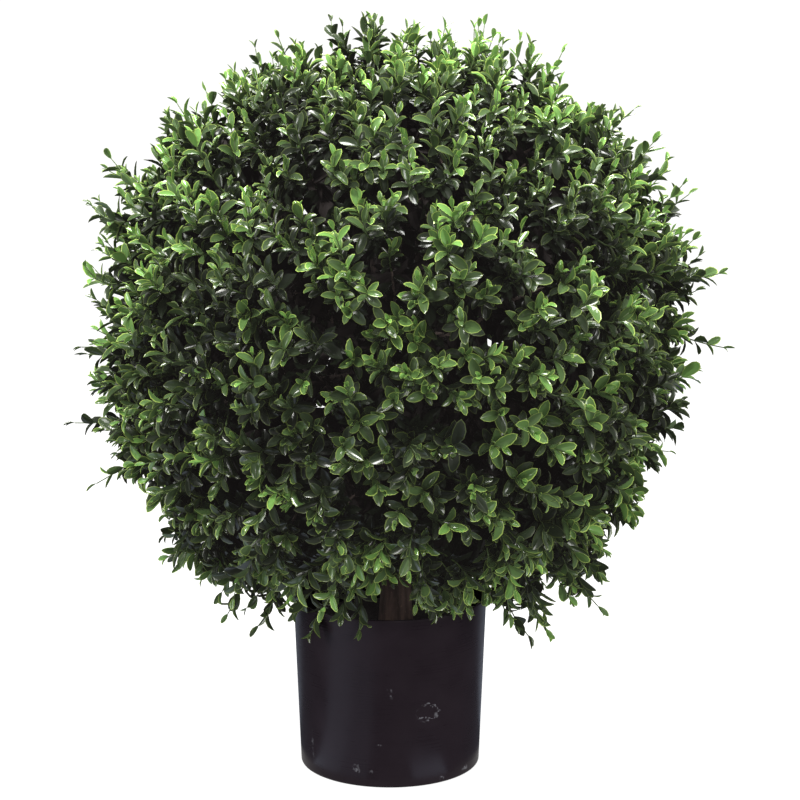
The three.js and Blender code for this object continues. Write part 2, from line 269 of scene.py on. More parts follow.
def crown_reach(directions):
    """Distance of the clipped outline from the crown's centre: a squared-off oval plus soft round bulges.

    On the oval the level and the upright share of the radii, each to the power of the squareness, add up to
    one. A bulge fades as a bell curve of the angle from its middle.
    """
    level = np.hypot(directions[:, 0], directions[:, 1]) / CROWN_GIRTH_RADIUS
    top = directions[:, 2] > 0
    rise = np.abs(directions[:, 2]) / np.where(top, CROWN_TOP_RADIUS, CROWN_UNDERSIDE_RADIUS)
    squareness = np.where(top, CROWN_TOP_SQUARENESS, CROWN_UNDERSIDE_SQUARENESS)
    reach = (level**squareness + rise**squareness) ** (-1 / squareness)
    for bearing, above, height, width in CROWN_BULGES:
        away = np.arccos(np.clip(directions @ bearing_vector(bearing, above), -1, 1))
        reach = reach + height * MM * np.exp(-((away / width) ** 2))
    return reach


def sprig_reach(directions):
    """Distance of the sprigs' outline from the crown's centre: the crown's, with its swells at both sides.

    A swell's place is the angle in the camera's view. It fades as a bell curve to the front and back.
    """
    x, y, z = directions.T
    up = y * math.sin(VIEW_PITCH) + z * math.cos(VIEW_PITCH)
    away = y * math.cos(VIEW_PITCH) - z * math.sin(VIEW_PITCH)
    angle = np.degrees(np.arctan2(up, np.abs(x)))
    on_right, on_left = (np.interp(angle, SIDE_ANGLES, swells) for swells in (RIGHT_SWELLS, LEFT_SWELLS))
    swells = np.where(x > 0, on_right, on_left)
    return crown_reach(directions) + swells * MM * np.exp(-((away / SWELL_WIDTH) ** 2))


def out_from_crown(directions, reach):
    """The points that lie a reach from the crown's centre."""
    return CROWN_CENTRE + directions * reach[:, None]


def nearest(points, targets):
    """For each point the number of the target that lies nearest to it."""
    return np.linalg.norm(points[:, None] - targets[None], axis=2).argmin(axis=1)


# Meshes from arrays


def fill_attribute(mesh, name, kind, domain, field, values):
    """Give a mesh a named attribute, filled from an array."""
    mesh.attributes.new(name, kind, domain).data.foreach_set(field, values)


def make_object(name, points, faces, materials, face_slots=None, smooth=True, creased=None, normals=None):
    """A mesh object from an array of points and a list of face arrays, each of one corner count.

    An edge is creased where both its points are marked in the creased array. The normals, one for each corner
    of each face in turn, make flat faces shine as the curved surface that they stand for.
    """
    corners = np.concatenate([np.asarray(f).ravel() for f in faces]).astype(np.int32)
    totals = np.concatenate([np.full(len(f), np.shape(f)[1], np.int32) for f in faces])
    starts = np.concatenate([[0], np.cumsum(totals)[:-1]]).astype(np.int32)
    mesh = bpy.data.meshes.new(name)
    mesh.vertices.add(len(points))
    mesh.vertices.foreach_set("co", np.asarray(points, np.float32).ravel())
    mesh.loops.add(len(corners))
    mesh.loops.foreach_set("vertex_index", corners)
    mesh.polygons.add(len(totals))
    mesh.polygons.foreach_set("loop_start", starts)
    mesh.polygons.foreach_set("loop_total", totals)
    for material in materials:
        mesh.materials.append(material)
    if face_slots is not None:
        mesh.polygons.foreach_set("material_index", np.asarray(face_slots, np.int32))
    mesh.polygons.foreach_set("use_smooth", np.full(len(totals), smooth))
    if normals is not None:
        fill_attribute(mesh, "custom_normal", "FLOAT_VECTOR", "CORNER", "vector", normals.ravel())
    mesh.update(calc_edges=True)
    mesh.validate()
    if creased is not None:
        edges = np.empty(len(mesh.edges) * 2, np.int32)
        mesh.edges.foreach_get("vertices", edges)
        sharp = creased[edges].reshape(-1, 2).all(axis=1)
        fill_attribute(mesh, "sharp_edge", "BOOLEAN", "EDGE", "value", sharp)
    thing = bpy.data.objects.new(name, mesh)
    bpy.context.scene.collection.objects.link(thing)
    return thing


def settle(piece, node):
    """The piece rides on the one body and hides the CAD node that it stands for."""
    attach(piece, "root")
    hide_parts(node)


def turns(sides):
    """Angles at even steps all the way round."""
    return np.linspace(0, 2 * np.pi, sides, endpoint=False)


def shell_faces(rows, sides):
    """Faces of a closed shell of rings: quads between them, and triangles to the two poles after them."""
    here = np.arange(sides)
    after = (here + 1) % sides
    base = np.arange(rows - 1)[:, None] * sides
    quads = np.stack([base + here, base + after, base + sides + after, base + sides + here], axis=2)
    last = (rows - 1) * sides
    pole = np.full(sides, rows * sides)
    bottom = np.stack([pole, after, here], axis=1)
    top = np.stack([last + here, last + after, pole + 1], axis=1)
    return [quads.reshape(-1, 4), np.concatenate([bottom, top])]


def repeat_faces(faces, count, each):
    """The same faces for each of many copies, with so many points to a copy."""
    offset = np.arange(count)[:, None, None] * each
    return [(part[None] + offset).reshape(-1, part.shape[1]) for part in faces]


def revolve(outline, sides):
    """Points and faces of a profile turned round Z; its first and last points are on the axis, as poles."""
    outline = np.asarray(outline, float)
    rings = outline[1:-1]
    turn = turns(sides)
    x = rings[:, :1] * np.cos(turn)
    y = rings[:, :1] * np.sin(turn)
    z = np.repeat(rings[:, 1:], sides, axis=1)
    poles = [[0, 0, outline[0, 1]], [0, 0, outline[-1, 1]]]
    points = np.concatenate([np.stack([x, y, z], axis=2).reshape(-1, 3), poles])
    return points, shell_faces(len(rings), sides)


def tubes(paths, radii, sides):
    """Points and faces of closed tubes: at each step of each path a ring, square to the path, of its radius.

    paths is (tubes, steps, 3) and radii is (tubes, steps); each end is closed on the path's own end point.
    """
    count, steps = paths.shape[:2]
    along = unit(np.gradient(paths, axis=1))
    reference = np.where(np.abs(along[:, :1, 2:]) > 0.9, [1.0, 0.0, 0.0], [0.0, 0.0, 1.0])
    across = unit(np.cross(along, reference))
    over = np.cross(along, across)
    turn = turns(sides)
    ring = across[:, :, None] * np.cos(turn)[:, None] + over[:, :, None] * np.sin(turn)[:, None]
    shell = paths[:, :, None] + ring * radii[:, :, None, None]
    points = np.concatenate([shell.reshape(count, -1, 3), paths[:, :1], paths[:, -1:]], axis=1)
    quads, ends = shell_faces(steps, sides)
    outward = [quads[:, [0, 3, 2, 1]], ends[:, [0, 2, 1]]]
    return points.reshape(-1, 3), repeat_faces(outward, count, steps * sides + 2)


def bend(roots, tips, headings, pull, steps):
    """Curved paths from roots to tips that arrive along a heading, each pulled towards one middle point.

    At t, from 0 to 1, it is (1 - t) squared of the root, 2 t (1 - t) of the middle and t squared of the tip.
    """
    length = np.linalg.norm(tips - roots, axis=1, keepdims=True)
    middles = tips - headings * length * pull
    t = np.linspace(0, 1, steps)[None, :, None]
    return (1 - t) ** 2 * roots[:, None] + 2 * t * (1 - t) * middles[:, None] + t**2 * tips[:, None]


def sample(paths, share):
    """Points and directions part way along each path, by straight steps between its points."""
    place = np.clip(share, 0, 1) * (paths.shape[1] - 1)
    step = np.minimum(place.astype(int), paths.shape[1] - 2)
    part = (place - step)[..., None]
    row = np.arange(len(paths))[:, None]
    start, end = paths[row, step], paths[row, step + 1]
    return start + (end - start) * part, unit(end - start)


# Finishes


def join(tree, node, inputs):
    """Set a node's inputs, by name or number, each to a value or joined to another node's output."""
    for name, value in inputs.items():
        if isinstance(value, bpy.types.NodeSocket):
            tree.links.new(value, node.inputs[name])
        else:
            node.inputs[name].default_value = value


def add_node(tree, kind, inputs, output=0, **settings):
    """One output of a new node with its settings and inputs."""
    node = tree.nodes.new(kind)
    for name, value in settings.items():
        setattr(node, name, value)
    join(tree, node, inputs)
    return node.outputs[output]


def new_finish(name):
    """An empty node material with its main shader and output joined, and that shader."""
    material = bpy.data.materials.new(name)
    material.use_nodes = True
    tree = material.node_tree
    tree.nodes.clear()
    shader = tree.nodes.new("ShaderNodeBsdfPrincipled")
    output = tree.nodes.new("ShaderNodeOutputMaterial")
    join(tree, output, {"Surface": shader.outputs["BSDF"]})
    return material, tree, shader


def plain_finish(name, colour, roughness, specular, glow_colour=(1, 1, 1), glow=0.0):
    """A finish of one colour, one gloss and one light of its own."""
    material, tree, shader = new_finish(name)
    join(tree, shader, {
        "Base Color": (*colour, 1), "Roughness": roughness, "Specular IOR Level": specular,
        "Emission Color": (*glow_colour, 1), "Emission Strength": glow,
    })
    material.diffuse_color = (*colour, 1)
    return material


def leaf_finish(name, colour, roughness, specular, painted_glow):
    """A plain finish with a faint painted glow, for leaves and twigs: it stands in for light soaking through.
    """
    return plain_finish(name, colour, roughness, specular, PAINTED_GLOW_COLOUR, painted_glow)


def object_place(tree, scale=(1, 1, 1), centre=(0, 0, 0)):
    """The place on the object, moved to a centre and stretched."""
    place = add_node(tree, "ShaderNodeTexCoord", {}, "Object")
    start = [-c * s for c, s in zip(centre, scale)]
    return add_node(tree, "ShaderNodeMapping", {"Vector": place, "Location": start, "Scale": scale})


def noise(tree, place, scale, detail=3.0, roughness=0.5):
    """A cloudy value at a place."""
    inputs = {"Vector": place, "Scale": scale, "Detail": detail, "Roughness": roughness}
    return add_node(tree, "ShaderNodeTexNoise", inputs, "Fac")


def remap(tree, value, low, high, to_low, to_high, kind="LINEAR"):
    """A value carried from one range to another and held inside it."""
    inputs = {"Value": value, "From Min": low, "From Max": high, "To Min": to_low, "To Max": to_high}
    return add_node(tree, "ShaderNodeMapRange", inputs, "Result", interpolation_type=kind)


def arithmetic(tree, operation, *values):
    """One sum of one or two values, each a socket or a number."""
    return add_node(tree, "ShaderNodeMath", dict(enumerate(values)), operation=operation)


def add_part(tree, value, extra, amount):
    """A value plus an amount of another."""
    return arithmetic(tree, "ADD", value, arithmetic(tree, "MULTIPLY", extra, amount))


def scaled(colour, amount):
    """A colour made lighter or darker."""
    return [c * amount for c in colour]


def blend_colours(tree, amount, first, second):
    """The first colour turning into the second by an amount; each is a socket or three numbers."""
    ends = [c if isinstance(c, bpy.types.NodeSocket) else (*c, 1) for c in (first, second)]
    return add_node(tree, "ShaderNodeMix", {"Factor": amount, 6: ends[0], 7: ends[1]}, 2, data_type="RGBA")


def bump(tree, height, strength, distance):
    """Relief from a height value."""
    return add_node(tree, "ShaderNodeBump", {"Height": height, "Strength": strength, "Distance": distance})


def scuff(tree, centre, size, key, ring=0.0, thickness=1.0, left=1.0):
    """A rubbed mark of a size in mm round a centre: a patch, or a ring, its line and wear uneven by noise.

    The ring's radius and its line's thickness are shares of the size. Left is how strong its left side is.
    """
    near = object_place(tree, 1 / (np.array(size) * MM), np.array(centre) * MM)
    away = add_node(tree, "ShaderNodeVectorMath", {0: near}, "Value", operation="LENGTH")
    wobble = noise(tree, object_place(tree, (1, 1, 1), (key, key, 0)), 240, 3)
    away = arithmetic(tree, "ADD", away, remap(tree, wobble, 0.3, 0.7, -0.35, 0.35))
    off_ring = arithmetic(tree, "ABSOLUTE", arithmetic(tree, "SUBTRACT", away, ring))
    shape = remap(tree, off_ring, thickness * 0.4, thickness, 1, 0, "SMOOTHSTEP")
    if left < 1:
        sideways = add_node(tree, "ShaderNodeSeparateXYZ", {0: near}, "X")
        shape = arithmetic(tree, "MULTIPLY", shape, remap(tree, sideways, -0.4, 0.3, left, 1))
    wear = noise(tree, object_place(tree, (1, 1, 1), (key, key, key)), 420, 4)
    return arithmetic(tree, "MULTIPLY", shape, remap(tree, wear, 0.42, 0.6, 0, 1, "SMOOTHSTEP"))


def pot_finish(colour):
    """Satin black plastic: faint mould lines round it, soft mottling in its gloss, and a few rubbed marks."""
    material, tree, shader = new_finish("pot satin black plastic")
    mottling = noise(tree, object_place(tree), 34, 4)
    lines = noise(tree, object_place(tree, (6, 6, 900)), 1.0, 3)
    grain = noise(tree, object_place(tree), 900, 2)
    worn = scuff(tree, *RUBBED_RING, ring=1.0, thickness=0.12, left=0.1)
    for spot in RUBBED_SPOTS:
        worn = arithmetic(tree, "MAXIMUM", worn, scuff(tree, *spot))
    tone = blend_colours(tree, remap(tree, mottling, 0.35, 0.75, 0, 0.25), colour, scaled(colour, 1.9))
    tone = blend_colours(tree, arithmetic(tree, "MULTIPLY", worn, 0.65), tone, (0.16, 0.16, 0.18))
    gloss = remap(tree, mottling, 0.3, 0.7, 0.22, 0.32)
    gloss = arithmetic(tree, "ADD", gloss, remap(tree, lines, 0.3, 0.7, 0, 0.06))
    relief = add_part(tree, arithmetic(tree, "MULTIPLY", lines, 0.6), grain, 0.25)
    join(tree, shader, {
        "Base Color": tone, "Roughness": add_part(tree, gloss, worn, 0.2), "Specular IOR Level": 0.09,
        "Normal": bump(tree, relief, 0.12, 0.0004),
    })
    return material


def fill_finish(colour):
    """Rough dark set filler: grains of uneven tone and relief, and a faint painted glow that lifts its shade.
    """
    material, tree, shader = new_finish("fill dark set grit")
    grit = noise(tree, object_place(tree), 320, 5, 0.65)
    tone = blend_colours(tree, remap(tree, grit, 0.35, 0.7, 0, 1), scaled(colour, 0.4), scaled(colour, 2))
    join(tree, shader, {
        "Base Color": tone, "Roughness": 0.95, "Normal": bump(tree, grit, 0.7, 0.002),
        # A faint painted glow, no lamp, lifts the shade on the fill under the crown
        "Emission Color": (*PAINTED_GLOW_COLOUR, 1), "Emission Strength": 0.005,
    })
    return material


def bark_finish(colour):
    """Brown bark: long streaks down the trunk, pale flecks and dark grooves, and a faint painted glow that
    lifts its shade.
    """
    material, tree, shader = new_finish("trunk brown bark")
    streaks = noise(tree, object_place(tree, (1, 1, 0.16)), 210, 5, 0.6)
    patches = noise(tree, object_place(tree), 26, 3)
    flecks = noise(tree, object_place(tree, (1, 1, 0.6)), 640, 2)
    tone = blend_colours(tree, remap(tree, streaks, 0.35, 0.66, 0, 1), scaled(colour, 0.22), colour)
    tone = blend_colours(tree, remap(tree, patches, 0.4, 0.7, 0, 0.5), tone, scaled(colour, 0.35))
    tone = blend_colours(tree, remap(tree, flecks, 0.66, 0.78, 0, 0.6), tone, scaled(colour, 2.2))
    join(tree, shader, {
        "Base Color": tone, "Roughness": remap(tree, streaks, 0.3, 0.7, 0.95, 0.62),
        "Normal": bump(tree, streaks, 0.6, 0.0012),
        # A faint painted glow, no lamp, lifts the shade on the trunk under the crown
        "Emission Color": (*PAINTED_GLOW_COLOUR, 1), "Emission Strength": 0.006,
    })
    return material


def leaf_finishes(crown):
    """Seven leaf tones from young to old, their three rim tones, and three inner tones of painted shade."""
    young, old, rim = (np.array(c) for c in (crown.young_colour, crown.old_colour, crown.rim_colour))
    painted_glow = crown.painted_glow_strength
    finishes = []
    for step, name in enumerate(LEAF_TONES):
        share = (step / (len(LEAF_TONES) - 1)) ** 0.9
        colour = np.exp(np.log(young) * (1 - share) + np.log(old) * share)
        finishes.append(leaf_finish(f"leaf {name}", colour, 0.17 + 0.01 * step, 0.42 - 0.035 * step, painted_glow))
    for name, share in RIM_TONES:
        finishes.append(leaf_finish(f"leaf rim {name}", rim * share, 0.3, 0.45, painted_glow))
    for name, share in INNER_SHADE_TONES:
        finishes.append(leaf_finish(f"leaf {name}", scaled(crown.inner_shade_colour, share), 0.7, 0.1, painted_glow))
    return finishes


# Leaves


def leaf_half_width(u):
    """A leaf's half width at u along it, from stalk to tip: u to the 0.75 times (1 - u) to the 0.67.

    It is widest at 0.53, a little past the middle.
    """
    return u**0.75 * (1 - u) ** 0.67


class LeafForm:
    """One leaf on a grid: rows from its stalk to its tip, columns from edge to edge, with or without a rim.

    The rim's inner line lies a rim's width inside the outline, so rim and blade are separate faces.
    """

    def __init__(self, rows, rim):
        self.rim = rim > 0
        rows = np.asarray(rows, float)
        width = np.maximum(leaf_half_width(rows) / leaf_half_width(0.53), 0.1)
        columns = np.array([-1, -(1 - rim), 0, 1 - rim, 1]) if self.rim else np.array([-1.0, 0, 1])
        inner_tip = 1 - rim * 0.26
        shrink = np.where(np.abs(columns) < 1, inner_tip, 1.0)
        body = rows[:-1]
        tips = [inner_tip, 1.0] if self.rim else [1.0]
        self.along = np.concatenate([(body[:, None] * shrink).ravel(), tips])
        self.across = np.concatenate([(width[:-1, None] * columns).ravel(), np.zeros(len(tips))])
        self.midrib = self.across == 0
        self._join(len(body), len(columns))
        self.quad_corners = self._sided(self.quads)
        self.triangle_corners = self._sided(self.triangles)

    def _join(self, rows, columns):
        """Quads between neighbouring rows, which of them are rim, and the faces that close the tip."""
        grid = np.arange(rows * columns).reshape(rows, columns)
        quads = np.stack([grid[:-1, :-1], grid[1:, :-1], grid[1:, 1:], grid[:-1, 1:]], axis=2).reshape(-1, 4)
        column = np.tile(np.arange(columns - 1), rows - 1)
        at_rim = self.rim & ((column == 0) | (column == columns - 2))
        last, middle, first_tip = grid[-1], columns // 2, rows * columns
        self.triangles = np.array([[last[i], first_tip, last[i + 1]] for i in (middle - 1, middle)])
        if self.rim:
            tip = first_tip + 1
            ends = [[last[0], tip, first_tip, last[1]], [last[3], first_tip, tip, last[4]]]
            quads = np.concatenate([quads, ends])
            at_rim = np.concatenate([at_rim, [True, True]])
        self.quads, self.quad_rim = quads, at_rim

    def _sided(self, faces):
        """The point of each corner of each face, counted on by all the points on the right of the midrib."""
        right = self.across[faces].sum(axis=1) > 0
        return (faces + right[:, None] * len(self.across)).ravel()

    def place(self, leaves, along, across):
        """Points of every leaf: bent down along its length, folded up at its midrib, twisted, then placed.

        A point at u along and v across stands on an arc of angle curl * u, v half widths to the side, raised
        by fold * |v| that steepens towards the edge as in a shallow boat, and turned about the arc by
        twist * u.
        """
        u = along[None]
        side = across[None] * leaves["width"][:, None] / 2
        curl = leaves["curl"][:, None]
        curl = np.where(np.abs(curl) < 0.01, 0.01, curl)
        angle = curl * u
        length = leaves["length"][:, None]
        forward = length * np.sin(angle) / curl
        drop = -length * (1 - np.cos(angle)) / curl
        raised = leaves["fold"][:, None] * np.abs(side) * (0.35 + 0.5 * np.abs(across[None]))
        turn = leaves["twist"][:, None] * u
        sideways = side * np.cos(turn) - raised * np.sin(turn)
        lift = side * np.sin(turn) + raised * np.cos(turn)
        ahead = forward + lift * np.sin(angle)
        up = drop + lift * np.cos(angle)
        return (
            leaves["root"][:, None]
            + ahead[..., None] * leaves["growth"][:, None]
            + sideways[..., None] * leaves["side"][:, None]
            + up[..., None] * leaves["face"][:, None]
        )

    def normals(self, leaves):
        """The way that each corner of each face looks: square to the curved leaf, on its side of the midrib.

        It is the cross product of a small step along the leaf and a small step across it.
        """
        step = 0.01
        both = []
        for side in (-1, 1):
            across = self.across + side * 2 * step
            ahead = self.place(leaves, self.along + step, across)
            ahead = ahead - self.place(leaves, self.along - step, across)
            over = self.place(leaves, self.along, across + step)
            over = over - self.place(leaves, self.along, across - step)
            both.append(unit(np.cross(ahead, over)).astype(np.float32))
        both = np.concatenate(both, axis=1)
        corners = (self.quad_corners, self.triangle_corners)
        return np.concatenate([both[:, numbers].reshape(-1, 3) for numbers in corners])

    def mesh(self, leaves):
        """Points, faces and material numbers of all the leaves, joined."""
        points = self.place(leaves, self.along, self.across)
        faces = repeat_faces((self.quads, self.triangles), *points.shape[:2])
        tone = leaves["tone"][:, None]
        quad_tone = np.where(self.quad_rim[None], RIM_OF_TONE[tone], tone).ravel()
        triangle_tone = np.repeat(leaves["tone"], len(self.triangles))
        return points.reshape(-1, 3), faces, np.concatenate([quad_tone, triangle_tone])


FINE_LEAF = LeafForm([0, 0.16, 0.4, 0.66, 0.88, 1], 0.13)
PLAIN_LEAF = LeafForm([0, 0.34, 0.7, 1], 0)


# Sizes and colours that a user would change


def length_setting(name, description, default):
    """A setting in metres."""
    return FloatProperty(name=name, description=description, default=default, unit="LENGTH")


def colour_setting(name, description, default):
    """A setting that is a colour."""
    return FloatVectorProperty(name=name, description=description, default=default, subtype="COLOR")


def light_setting(name, description, default):
    """A setting that is a strength of light."""
    return FloatProperty(name=name, description=description, default=default)


class TopiaryPot(bpy.types.PropertyGroup):
    """The pot, its fill and the trunk."""

    sides: IntProperty(name="Sides", description="Faces round the pot", default=192, min=24)
    wall: length_setting("Wall", "Thickness of the wall", 2.2 * MM)
    foot_rounding: length_setting("Foot rounding", "Radius of the pot's bottom edge", 2.4 * MM)
    colour: colour_setting("Plastic", "Colour of the pot", (0.0134, 0.0094, 0.0127))
    fill_colour: colour_setting("Fill", "Colour of the set fill", (0.006, 0.005, 0.0045))
    bark_colour: colour_setting("Bark", "Colour of the trunk", (0.21, 0.122, 0.095))
    bark_depth: length_setting("Bark relief", "Depth of the bark's grooves", 0.5 * MM)


class TopiaryCrown(bpy.types.PropertyGroup):
    """The ball of leaves."""

    sprigs: IntProperty(name="Sprigs", description="Leafy shoots on the whole ball", default=1700, min=100)
    pairs: IntProperty(name="Pairs", description="Pairs of leaves on a sprig", default=7, min=2)
    leaf_length: length_setting("Leaf length", "Length of a full-grown leaf", 15.4 * MM)
    leaf_width: length_setting("Leaf width", "Width of a full-grown leaf", 6.6 * MM)
    young_colour: colour_setting("Young leaf", "Colour of leaves at a sprig's tip", (0.116, 0.234, 0.0555))
    old_colour: colour_setting("Old leaf", "Colour of leaves inside the ball", (0.0096, 0.0134, 0.0076))
    rim_colour: colour_setting("Leaf rim", "Colour of the pale line round a young leaf", (0.3, 0.415, 0.09))
    # Not the inner leaves' own green: a dusky purple-brown that paints the shade of the ball's hollows on
    # them
    inner_shade_colour: colour_setting("Inner leaf", "Colour of old leaves deep inside", (0.0145, 0.0115, 0.011))
    stem_colour: colour_setting("Sprig stem", "Colour of the sprigs' green stems", (0.05, 0.08, 0.022))
    twig_colour: colour_setting("Twig", "Colour of the woody twigs", (0.1, 0.075, 0.066))
    # A painted glow on leaves and twigs, no lamp: it lifts the shade inside the ball
    painted_glow_strength: light_setting("Soaked light", "Faint light that soaks through thin leaves", 0.0055)


class TopiaryStage(bpy.types.PropertyGroup):
    """The floor, the lights and the camera."""

    floor_colour: colour_setting("Floor", "Colour of the plain floor", (0.2, 0.2, 0.2))
    floor_glow: light_setting("Floor glow", "Light that the floor adds of its own", 0.94)
    card_glow: light_setting("Card glow", "Light of the cards that the pot reflects", 1.85)
    ring_glow: light_setting("Ring glow", "Light of the dim ring that the pot reflects", 0.12)
    panel_strength: light_setting("Panel light", "Strength of all the light panels", 0.96)
    room_strength: light_setting("Room light", "Strength of the light all round", 0.56)
    camera_distance: length_setting("Camera distance", "How far before the pot the camera is", 2.04)
    camera_height: length_setting("Camera height", "How high the camera is above the floor", 0.718)
    camera_right: length_setting("Camera right", "How far right of the pot's middle the camera is", 8 * MM)
    camera_pitch: FloatProperty(
        name="Camera pitch", description="How far the camera looks down", default=VIEW_PITCH, subtype="ANGLE"
    )
    camera_lens: FloatProperty(
        name="Lens", description="Focal length on a 36 mm sensor", default=119.25, unit="CAMERA"
    )


# The pot, its fill and the trunk


def pot_radius_at(height):
    """The pot's outer radius at a height, by straight-line taper between its foot and rim."""
    foot = POT_HIGH.x * POT_TAPER
    return foot + (POT_HIGH.x - foot) * height / POT_HIGH.z


def pot_outline(pot):
    """The pot's profile, radius and height, from under its foot up the outside, and down inside to its floor.

    The foot's edge is a quarter circle, the walls are the straight taper, and the lip is half an ellipse over
    the wall.
    """
    arc = np.radians(np.linspace(0, 90, 9))
    lift = pot.foot_rounding * (1 - np.cos(arc))
    foot = np.stack([pot_radius_at(lift) - pot.foot_rounding * (1 - np.sin(arc)), lift], axis=1)
    lip = 0.6 * MM
    wall_top = POT_HIGH.z - lip
    heights = np.linspace(pot.foot_rounding * 1.5, wall_top, 40)
    outside = np.stack([pot_radius_at(heights), heights], axis=1)
    over = np.radians(np.linspace(0, 180, 9))
    half = pot.wall / 2
    rim = np.stack([POT_HIGH.x - half + half * np.cos(over), wall_top + lip * np.sin(over)], axis=1)
    down = np.linspace(wall_top, FILL_LOW.z - 0.3 * MM, 30)[1:]
    inside = np.stack([pot_radius_at(down) - pot.wall, down], axis=1)
    under = foot[0, 0] * np.array([[0.4], [0.8]]) * [[1, 0]]
    floor = [[inside[-1, 0] * 0.6, down[-1]], [0, down[-1]]]
    return np.concatenate([[[0, 0]], under, foot, outside, rim[1:], inside, floor])


def fill_shell(pot):
    """Points and faces of the fill: a cake whose top sinks 2 mm to its edge, and is covered in crumbs.

    The crumbs are sin(710 x + 3 sin(330 y)) times sin(640 y + 2 sin(410 x)), and 0.6 of a finer product,
    sin(1500 x + 900 y) times sin(1700 y - 600 x).
    """
    edge = FILL_HIGH.x - 0.4 * MM
    rings = np.linspace(0.03, 1, 44)[::-1] * edge
    surface = np.stack([rings, FILL_HIGH.z - 2 * MM * (rings / edge) ** 2], axis=1)
    foot = pot_radius_at(FILL_LOW.z) - pot.wall - 0.4 * MM
    outline = np.concatenate([[[0, FILL_LOW.z], [foot, FILL_LOW.z]], surface, [[0, FILL_HIGH.z]]])
    points, faces = revolve(outline, 160)
    x, y, z = points.T
    crumbs = np.sin(x * 710 + 3 * np.sin(y * 330)) * np.sin(y * 640 + 2 * np.sin(x * 410))
    crumbs += 0.6 * np.sin(x * 1500 + y * 900) * np.sin(y * 1700 - x * 600)
    top = z > FILL_HIGH.z - 3 * MM
    points[:, 2] = np.where(top, np.minimum(z + crumbs * 0.7 * MM - 0.6 * MM, FILL_HIGH.z), z)
    return points, faces


def trunk_shell(depth):
    """Points and faces of the trunk: rings on a slight lean, tapering to the top, with grooved bark.

    The grooves are 0.6 of a sine of 13 turns, swayed by sines of the height and of 3 turns, and 0.4 of a sine
    of 29 turns. A knot swells the bark 19 mm up.
    """
    rows, sides = 120, 72
    foot, top = TRUNK_LOW.z - 0.3 * MM, TRUNK_HIGH.z
    share = np.linspace(0, 1, rows)[:, None]
    turn = turns(sides)[None]
    height = foot + (top - foot) * share
    flare = TRUNK_FLARE * MM * np.exp((foot - height) / (TRUNK_FLARE_FADE * MM))
    foot_radius, top_radius = TRUNK_RADII
    radius = (foot_radius + (top_radius - foot_radius) * share) * MM + flare
    sway = 5 * height / MM * 0.012
    grooves = np.sin(13 * turn + 1.3 * np.sin(sway) + 2 * np.sin(3 * turn))
    grooves = grooves * 0.6 + 0.4 * np.sin(29 * turn + 2 * np.sin(sway * 2.3 + turn))
    knots = np.exp(-(((height - foot) / MM - 19) / 5) ** 2 - ((turn - 4.4) / 0.35) ** 2)
    radius = radius - depth * (0.5 - 0.5 * grooves) + knots * 0.9 * MM
    foot_middle, top_middle = TRUNK_MIDDLES
    centre = (foot_middle + (top_middle - foot_middle) * share) * MM
    shell = np.stack([centre + radius * np.cos(turn), radius * np.sin(turn), height + 0 * turn], axis=2)
    points = np.concatenate([shell.reshape(-1, 3), [[foot_middle * MM, 0, foot], [top_middle * MM, 0, top]]])
    return points, shell_faces(rows, sides)


class TOPIARY_OT_pot(bpy.types.Operator):
    """Turn the pot: a thin tapered wall with a softly rounded foot and lip"""

    bl_idname = "topiary.pot"
    bl_label = "Pot"

    def execute(self, context):
        pot = context.scene.topiary_pot
        points, faces = revolve(pot_outline(pot), pot.sides)
        piece = make_object("pot_shell", points, faces, [pot_finish(pot.colour)])
        settle(piece, "pot")
        return {"FINISHED"}


class TOPIARY_OT_fill(bpy.types.Operator):
    """Pour the fill: a low uneven cake with a crumbly top"""

    bl_idname = "topiary.fill"
    bl_label = "Fill"

    def execute(self, context):
        pot = context.scene.topiary_pot
        points, faces = fill_shell(pot)
        piece = make_object("fill_cake", points, faces, [fill_finish(pot.fill_colour)])
        settle(piece, "pot_fill")
        return {"FINISHED"}


class TOPIARY_OT_trunk(bpy.types.Operator):
    """Grow the trunk: a round tapering stem with long shallow grooves in its bark"""

    bl_idname = "topiary.trunk"
    bl_label = "Trunk"

    def execute(self, context):
        pot = context.scene.topiary_pot
        points, faces = trunk_shell(pot.bark_depth)
        piece = make_object("trunk_bark", points, faces, [bark_finish(pot.bark_colour)])
        settle(piece, "trunk")
        return {"FINISHED"}


# The crown


def limb_skeleton():
    """Roots, tips and directions of boughs, twigs and side twigs, each rooted on the tip nearest to it."""
    bough_ways = spiral_directions(BOUGH_COUNT)
    stem_foot = TRUNK_HIGH.z
    rise = stem_foot + (CROWN_CENTRE[2] - stem_foot) * (bough_ways[:, 2] + 1) / 2
    bough_roots = np.stack([np.full(BOUGH_COUNT, CROWN_CENTRE[0]), np.zeros(BOUGH_COUNT), rise], axis=1)
    bough_tips = out_from_crown(bough_ways, crown_reach(bough_ways) * BOUGH_SHARE)
    hanging = unit(np.array(HANGING_TIPS) * MM - CROWN_CENTRE)
    twig_ways = np.concatenate([spiral_directions(TWIG_COUNT), hanging])
    twig_tips = out_from_crown(twig_ways, crown_reach(twig_ways) * TWIG_SHARE)
    twig_roots = bough_tips[nearest(twig_tips, bough_tips)]
    number = np.arange(SIDE_TWIG_COUNT)
    sway = random_ways(number, "jitter", "roll") * SIDE_TWIG_JITTER
    side_ways = unit(spiral_directions(SIDE_TWIG_COUNT) + sway)
    side_tips = out_from_crown(side_ways, crown_reach(side_ways) * spread(number, "reach", *SIDE_TWIG_SHARES))
    side_roots = twig_tips[nearest(side_tips, twig_tips)]
    return {
        "boughs": (bough_roots, bough_tips, bough_ways),
        "twigs": (twig_roots, twig_tips, twig_ways),
        "side_twigs": (side_roots, side_tips, side_ways),
    }


def limb_paths(kind):
    """The curved path of every limb of a kind."""
    return bend(*limb_skeleton()[kind], LIMB_PULL, LIMB_STEPS)


